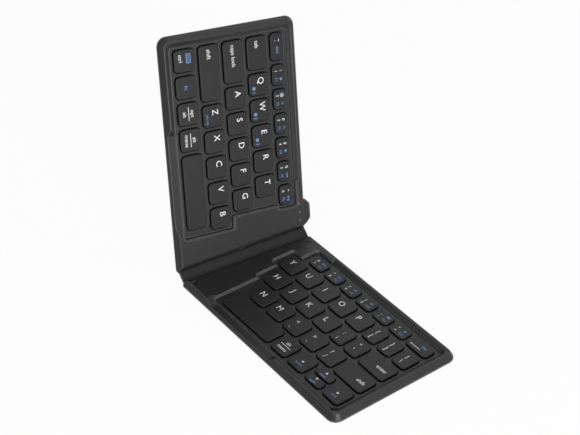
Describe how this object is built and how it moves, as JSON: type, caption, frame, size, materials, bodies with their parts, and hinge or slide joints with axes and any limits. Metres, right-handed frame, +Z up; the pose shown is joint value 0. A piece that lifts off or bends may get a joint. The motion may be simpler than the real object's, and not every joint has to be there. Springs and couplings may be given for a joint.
{
  "type": "folding travel keyboard",
  "caption": "Slim folding keyboard: two shells with low keys, joined by a narrow spine that folds on two axes, with a thumb scoop in the front rims.",
  "frame": {"origin": "on the underside of the right half, below the middle of the right hinge axis", "axes": "+Y along the hinge, from the user's side to the back; +X to the right, away from the hinge; +Z up, out of the right half's keys"},
  "size_m": [0.2026, 0.1073, 0.1475],
  "materials": {
    "right_bottom_cover": "soft-touch coating, fine grain",
    "right_deck": "soft-touch coating",
    "right_support_plate": "rolled sheet",
    "right_membrane": "printed black film",
    "right_rubber_domes": "moulded silicone, dark grey",
    "right_magnets": "plated",
    "battery": "foil pouch",
    "left_bottom_cover": "soft-touch coating, fine grain",
    "left_deck": "soft-touch coating",
    "left_support_plate": "rolled sheet",
    "left_membrane": "printed black film",
    "left_rubber_domes": "moulded silicone, dark grey",
    "left_magnets": "plated",
    "circuit_board": "solder mask",
    "charging_port": "stamped shell",
    "indicator_lights": "clear light guides",
    "spine_skin": "soft, matte",
    "spine_core": "glass-filled sheet",
    "flat_cable": "black film cable",
    "right_space": "fine matte moulding",
    "right_alt": "fine matte moulding",
    "arrow_keys": "fine matte moulding",
    "key_n": "fine matte moulding",
    "key_m": "fine matte moulding",
    "punctuation_keys": "fine matte moulding",
    "right_shift": "fine matte moulding",
    "key_h": "fine matte moulding",
    "key_j": "fine matte moulding",
    "key_k": "fine matte moulding",
    "key_l": "fine matte moulding",
    "enter_key": "fine matte moulding",
    "key_y": "fine matte moulding",
    "key_u": "fine matte moulding",
    "key_i": "fine matte moulding",
    "key_o": "fine matte moulding",
    "key_p": "fine matte moulding",
    "bracket_keys": "fine matte moulding",
    "right_number_keys": "fine matte moulding",
    "backspace_key": "fine matte moulding",
    "left_space": "fine matte moulding",
    "left_modifier_keys": "fine matte moulding",
    "key_b": "fine matte moulding",
    "key_v": "fine matte moulding",
    "key_c": "fine matte moulding",
    "key_x": "fine matte moulding",
    "key_z": "fine matte moulding",
    "left_shift": "fine matte moulding",
    "key_g": "fine matte moulding",
    "key_f": "fine matte moulding",
    "key_d": "fine matte moulding",
    "key_s": "fine matte moulding",
    "key_a": "fine matte moulding",
    "caps_lock": "fine matte moulding",
    "key_t": "fine matte moulding",
    "key_r": "fine matte moulding",
    "key_e": "fine matte moulding",
    "key_w": "fine matte moulding",
    "key_q": "fine matte moulding",
    "tab_key": "fine matte moulding",
    "left_number_keys": "fine matte moulding"
  },
  "bodies": {
    "right_half": {"right_bottom_cover": "right_bottom_cover", "right_deck": "right_deck", "right_support_plate": "right_support_plate", "right_membrane": "right_membrane", "right_rubber_domes": "right_rubber_domes", "right_magnets": "right_magnets", "battery": "battery"},
    "spine": {"spine_skin": "spine_skin", "spine_core": "spine_core", "flat_cable": "flat_cable"},
    "left_half": {"left_bottom_cover": "left_bottom_cover", "left_deck": "left_deck", "left_support_plate": "left_support_plate", "left_membrane": "left_membrane", "left_rubber_domes": "left_rubber_domes", "left_magnets": "left_magnets", "circuit_board": "circuit_board", "charging_port": "charging_port", "indicator_lights": "indicator_lights"},
    "right_space": {"right_space": "right_space"},
    "right_alt": {"right_alt": "right_alt"},
    "arrow_keys": {"arrow_keys": "arrow_keys"},
    "key_n": {"key_n": "key_n"},
    "key_m": {"key_m": "key_m"},
    "punctuation_keys": {"punctuation_keys": "punctuation_keys"},
    "right_shift": {"right_shift": "right_shift"},
    "key_h": {"key_h": "key_h"},
    "key_j": {"key_j": "key_j"},
    "key_k": {"key_k": "key_k"},
    "key_l": {"key_l": "key_l"},
    "enter_key": {"enter_key": "enter_key"},
    "key_y": {"key_y": "key_y"},
    "key_u": {"key_u": "key_u"},
    "key_i": {"key_i": "key_i"},
    "key_o": {"key_o": "key_o"},
    "key_p": {"key_p": "key_p"},
    "bracket_keys": {"bracket_keys": "bracket_keys"},
    "right_number_keys": {"right_number_keys": "right_number_keys"},
    "backspace_key": {"backspace_key": "backspace_key"},
    "left_space": {"left_space": "left_space"},
    "left_modifier_keys": {"left_modifier_keys": "left_modifier_keys"},
    "key_b": {"key_b": "key_b"},
    "key_v": {"key_v": "key_v"},
    "key_c": {"key_c": "key_c"},
    "key_x": {"key_x": "key_x"},
    "key_z": {"key_z": "key_z"},
    "left_shift": {"left_shift": "left_shift"},
    "key_g": {"key_g": "key_g"},
    "key_f": {"key_f": "key_f"},
    "key_d": {"key_d": "key_d"},
    "key_s": {"key_s": "key_s"},
    "key_a": {"key_a": "key_a"},
    "caps_lock": {"caps_lock": "caps_lock"},
    "key_t": {"key_t": "key_t"},
    "key_r": {"key_r": "key_r"},
    "key_e": {"key_e": "key_e"},
    "key_w": {"key_w": "key_w"},
    "key_q": {"key_q": "key_q"},
    "tab_key": {"tab_key": "tab_key"},
    "left_number_keys": {"left_number_keys": "left_number_keys"}
  },
  "joints": [
    {"name": "right_fold", "type": "hinge", "parent": "right_half", "child": "spine", "pos_m": [0, 0, 0.0025], "axis": [0, 1, 0], "range_deg": [-36.25, 53.75], "deforming": ["flat_cable"]},
    {"name": "left_fold", "type": "hinge", "parent": "spine", "child": "left_half", "pos_m": [-0.00573, 0, 0.0067], "axis": [0, 1, 0], "range_deg": [-36.25, 53.75]},
    {"name": "right_space_press", "type": "slide", "parent": "right_half", "child": "right_space", "axis": [0, 0, -1], "range_m": [0, 0.0012], "stiffness_N_per_m": 400},
    {"name": "right_alt_press", "type": "slide", "parent": "right_half", "child": "right_alt", "axis": [0, 0, -1], "range_m": [0, 0.0012], "stiffness_N_per_m": 400},
    {"name": "arrow_keys_press", "type": "slide", "parent": "right_half", "child": "arrow_keys", "axis": [0, 0, -1], "range_m": [0, 0.0012], "stiffness_N_per_m": 400},
    {"name": "key_n_press", "type": "slide", "parent": "right_half", "child": "key_n", "axis": [0, 0, -1], "range_m": [0, 0.0012], "stiffness_N_per_m": 400},
    {"name": "key_m_press", "type": "slide", "parent": "right_half", "child": "key_m", "axis": [0, 0, -1], "range_m": [0, 0.0012], "stiffness_N_per_m": 400},
    {"name": "punctuation_keys_press", "type": "slide", "parent": "right_half", "child": "punctuation_keys", "axis": [0, 0, -1], "range_m": [0, 0.0012], "stiffness_N_per_m": 400},
    {"name": "right_shift_press", "type": "slide", "parent": "right_half", "child": "right_shift", "axis": [0, 0, -1], "range_m": [0, 0.0012], "stiffness_N_per_m": 400},
    {"name": "key_h_press", "type": "slide", "parent": "right_half", "child": "key_h", "axis": [0, 0, -1], "range_m": [0, 0.0012], "stiffness_N_per_m": 400},
    {"name": "key_j_press", "type": "slide", "parent": "right_half", "child": "key_j", "axis": [0, 0, -1], "range_m": [0, 0.0012], "stiffness_N_per_m": 400},
    {"name": "key_k_press", "type": "slide", "parent": "right_half", "child": "key_k", "axis": [0, 0, -1], "range_m": [0, 0.0012], "stiffness_N_per_m": 400},
    {"name": "key_l_press", "type": "slide", "parent": "right_half", "child": "key_l", "axis": [0, 0, -1], "range_m": [0, 0.0012], "stiffness_N_per_m": 400},
    {"name": "enter_key_press", "type": "slide", "parent": "right_half", "child": "enter_key", "axis": [0, 0, -1], "range_m": [0, 0.0012], "stiffness_N_per_m": 400},
    {"name": "key_y_press", "type": "slide", "parent": "right_half", "child": "key_y", "axis": [0, 0, -1], "range_m": [0, 0.0012], "stiffness_N_per_m": 400},
    {"name": "key_u_press", "type": "slide", "parent": "right_half", "child": "key_u", "axis": [0, 0, -1], "range_m": [0, 0.0012], "stiffness_N_per_m": 400},
    {"name": "key_i_press", "type": "slide", "parent": "right_half", "child": "key_i", "axis": [0, 0, -1], "range_m": [0, 0.0012], "stiffness_N_per_m": 400},
    {"name": "key_o_press", "type": "slide", "parent": "right_half", "child": "key_o", "axis": [0, 0, -1], "range_m": [0, 0.0012], "stiffness_N_per_m": 400},
    {"name": "key_p_press", "type": "slide", "parent": "right_half", "child": "key_p", "axis": [0, 0, -1], "range_m": [0, 0.0012], "stiffness_N_per_m": 400},
    {"name": "bracket_keys_press", "type": "slide", "parent": "right_half", "child": "bracket_keys", "axis": [0, 0, -1], "range_m": [0, 0.0012], "stiffness_N_per_m": 400},
    {"name": "right_number_keys_press", "type": "slide", "parent": "right_half", "child": "right_number_keys", "axis": [0, 0, -1], "range_m": [0, 0.0012], "stiffness_N_per_m": 400},
    {"name": "backspace_key_press", "type": "slide", "parent": "right_half", "child": "backspace_key", "axis": [0, 0, -1], "range_m": [0, 0.0012], "stiffness_N_per_m": 400},
    {"name": "left_space_press", "type": "slide", "parent": "left_half", "child": "left_space", "axis": [-0.9537, 0, -0.3007], "range_m": [0, 0.0012], "stiffness_N_per_m": 400},
    {"name": "left_modifier_keys_press", "type": "slide", "parent": "left_half", "child": "left_modifier_keys", "axis": [-0.9537, 0, -0.3007], "range_m": [0, 0.0012], "stiffness_N_per_m": 400},
    {"name": "key_b_press", "type": "slide", "parent": "left_half", "child": "key_b", "axis": [-0.9537, 0, -0.3007], "range_m": [0, 0.0012], "stiffness_N_per_m": 400},
    {"name": "key_v_press", "type": "slide", "parent": "left_half", "child": "key_v", "axis": [-0.9537, 0, -0.3007], "range_m": [0, 0.0012], "stiffness_N_per_m": 400},
    {"name": "key_c_press", "type": "slide", "parent": "left_half", "child": "key_c", "axis": [-0.9537, 0, -0.3007], "range_m": [0, 0.0012], "stiffness_N_per_m": 400},
    {"name": "key_x_press", "type": "slide", "parent": "left_half", "child": "key_x", "axis": [-0.9537, 0, -0.3007], "range_m": [0, 0.0012], "stiffness_N_per_m": 400},
    {"name": "key_z_press", "type": "slide", "parent": "left_half", "child": "key_z", "axis": [-0.9537, 0, -0.3007], "range_m": [0, 0.0012], "stiffness_N_per_m": 400},
    {"name": "left_shift_press", "type": "slide", "parent": "left_half", "child": "left_shift", "axis": [-0.9537, 0, -0.3007], "range_m": [0, 0.0012], "stiffness_N_per_m": 400},
    {"name": "key_g_press", "type": "slide", "parent": "left_half", "child": "key_g", "axis": [-0.9537, 0, -0.3007], "range_m": [0, 0.0012], "stiffness_N_per_m": 400},
    {"name": "key_f_press", "type": "slide", "parent": "left_half", "child": "key_f", "axis": [-0.9537, 0, -0.3007], "range_m": [0, 0.0012], "stiffness_N_per_m": 400},
    {"name": "key_d_press", "type": "slide", "parent": "left_half", "child": "key_d", "axis": [-0.9537, 0, -0.3007], "range_m": [0, 0.0012], "stiffness_N_per_m": 400},
    {"name": "key_s_press", "type": "slide", "parent": "left_half", "child": "key_s", "axis": [-0.9537, 0, -0.3007], "range_m": [0, 0.0012], "stiffness_N_per_m": 400},
    {"name": "key_a_press", "type": "slide", "parent": "left_half", "child": "key_a", "axis": [-0.9537, 0, -0.3007], "range_m": [0, 0.0012], "stiffness_N_per_m": 400},
    {"name": "caps_lock_press", "type": "slide", "parent": "left_half", "child": "caps_lock", "axis": [-0.9537, 0, -0.3007], "range_m": [0, 0.0012], "stiffness_N_per_m": 400},
    {"name": "key_t_press", "type": "slide", "parent": "left_half", "child": "key_t", "axis": [-0.9537, 0, -0.3007], "range_m": [0, 0.0012], "stiffness_N_per_m": 400},
    {"name": "key_r_press", "type": "slide", "parent": "left_half", "child": "key_r", "axis": [-0.9537, 0, -0.3007], "range_m": [0, 0.0012], "stiffness_N_per_m": 400},
    {"name": "key_e_press", "type": "slide", "parent": "left_half", "child": "key_e", "axis": [-0.9537, 0, -0.3007], "range_m": [0, 0.0012], "stiffness_N_per_m": 400},
    {"name": "key_w_press", "type": "slide", "parent": "left_half", "child": "key_w", "axis": [-0.9537, 0, -0.3007], "range_m": [0, 0.0012], "stiffness_N_per_m": 400},
    {"name": "key_q_press", "type": "slide", "parent": "left_half", "child": "key_q", "axis": [-0.9537, 0, -0.3007], "range_m": [0, 0.0012], "stiffness_N_per_m": 400},
    {"name": "tab_key_press", "type": "slide", "parent": "left_half", "child": "tab_key", "axis": [-0.9537, 0, -0.3007], "range_m": [0, 0.0012], "stiffness_N_per_m": 400},
    {"name": "left_number_keys_press", "type": "slide", "parent": "left_half", "child": "left_number_keys", "axis": [-0.9537, 0, -0.3007], "range_m": [0, 0.0012], "stiffness_N_per_m": 400}
  ]
}
